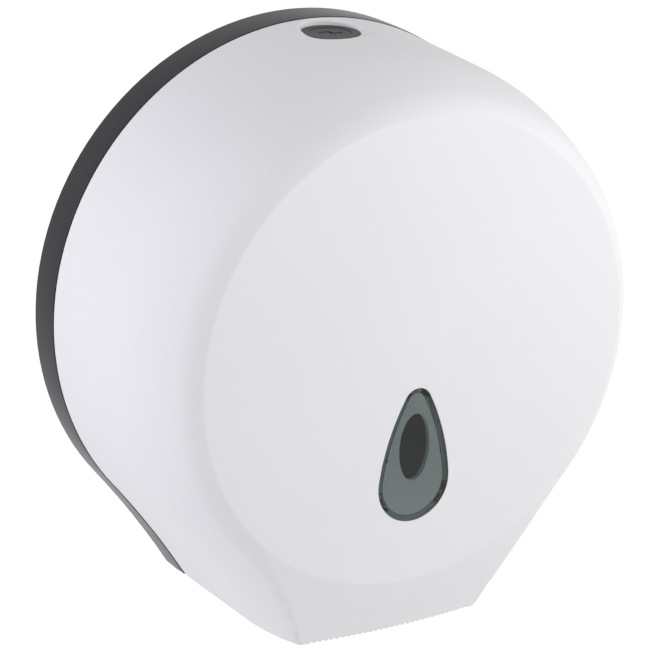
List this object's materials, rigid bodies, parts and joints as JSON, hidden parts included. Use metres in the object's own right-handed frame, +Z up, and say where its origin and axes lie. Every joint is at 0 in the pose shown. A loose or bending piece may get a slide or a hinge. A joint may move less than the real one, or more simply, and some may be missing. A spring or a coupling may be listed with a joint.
{
  "type": "toilet paper dispenser",
  "caption": "Round wall-mounted toilet roll dispenser with a white hinged cover, smoked drop-shaped window, key lock on top, spinning hub inside and tear teeth at its open bottom.",
  "frame": {"origin": "on the wall plane, behind the axis of the roll, at the middle of the round back", "axes": "+X to the right of a person who faces the front, +Y into the wall, +Z up"},
  "size_m": [0.27, 0.1266, 0.2786],
  "materials": {
    "cover_plastic": "satin white ABS",
    "base_plastic": "fine-grained dark grey ABS",
    "smoked_lens": "clear smoked polycarbonate",
    "lock_plastic": "dark grey nylon",
    "plug_plastic": "dark grey nylon",
    "post_plastic": "dark grey ABS",
    "hub_plastic": "white ABS",
    "washer_plastic": "natural nylon",
    "plated_steel": "zinc plated",
    "screw_steel": "zinc plated",
    "pin_steel": "drawn steel"
  },
  "bodies": {
    "base": {"back_plate": "base_plastic", "latch_keeper": "plated_steel", "keeper_screws": "screw_steel", "hinge_pin_right": "pin_steel", "hinge_pin_left": "pin_steel", "spindle_post": "post_plastic", "spindle_screws": "screw_steel", "thrust_washer": "washer_plastic", "hub_washer": "plated_steel", "hub_screw": "screw_steel"},
    "cover": {"front_cover": "cover_plastic", "window_lens": "smoked_lens", "lock_housing": "lock_plastic", "lock_nut": "lock_plastic"},
    "lock": {"lock_plug": "plug_plastic", "lock_cam": "plated_steel", "cam_washer": "plated_steel", "cam_screw": "screw_steel"},
    "hub": {"roll_hub": "hub_plastic", "hub_cap": "hub_plastic"}
  },
  "joints": [
    {"name": "cover_hinge", "type": "hinge", "parent": "base", "child": "cover", "pos_m": [0, -0.0233, -0.1392], "axis": [1, 0, 0], "range_deg": [0, 93]},
    {"name": "lock_turn", "type": "hinge", "parent": "cover", "child": "lock", "pos_m": [0, -0.0358, 0.126], "axis": [0, 0, -1], "range_deg": [0, 90]},
    {"name": "hub_spin", "type": "hinge", "parent": "base", "child": "hub", "pos_m": [0, -0.064, 0], "axis": [0, 1, 0], "continuous": true}
  ]
}
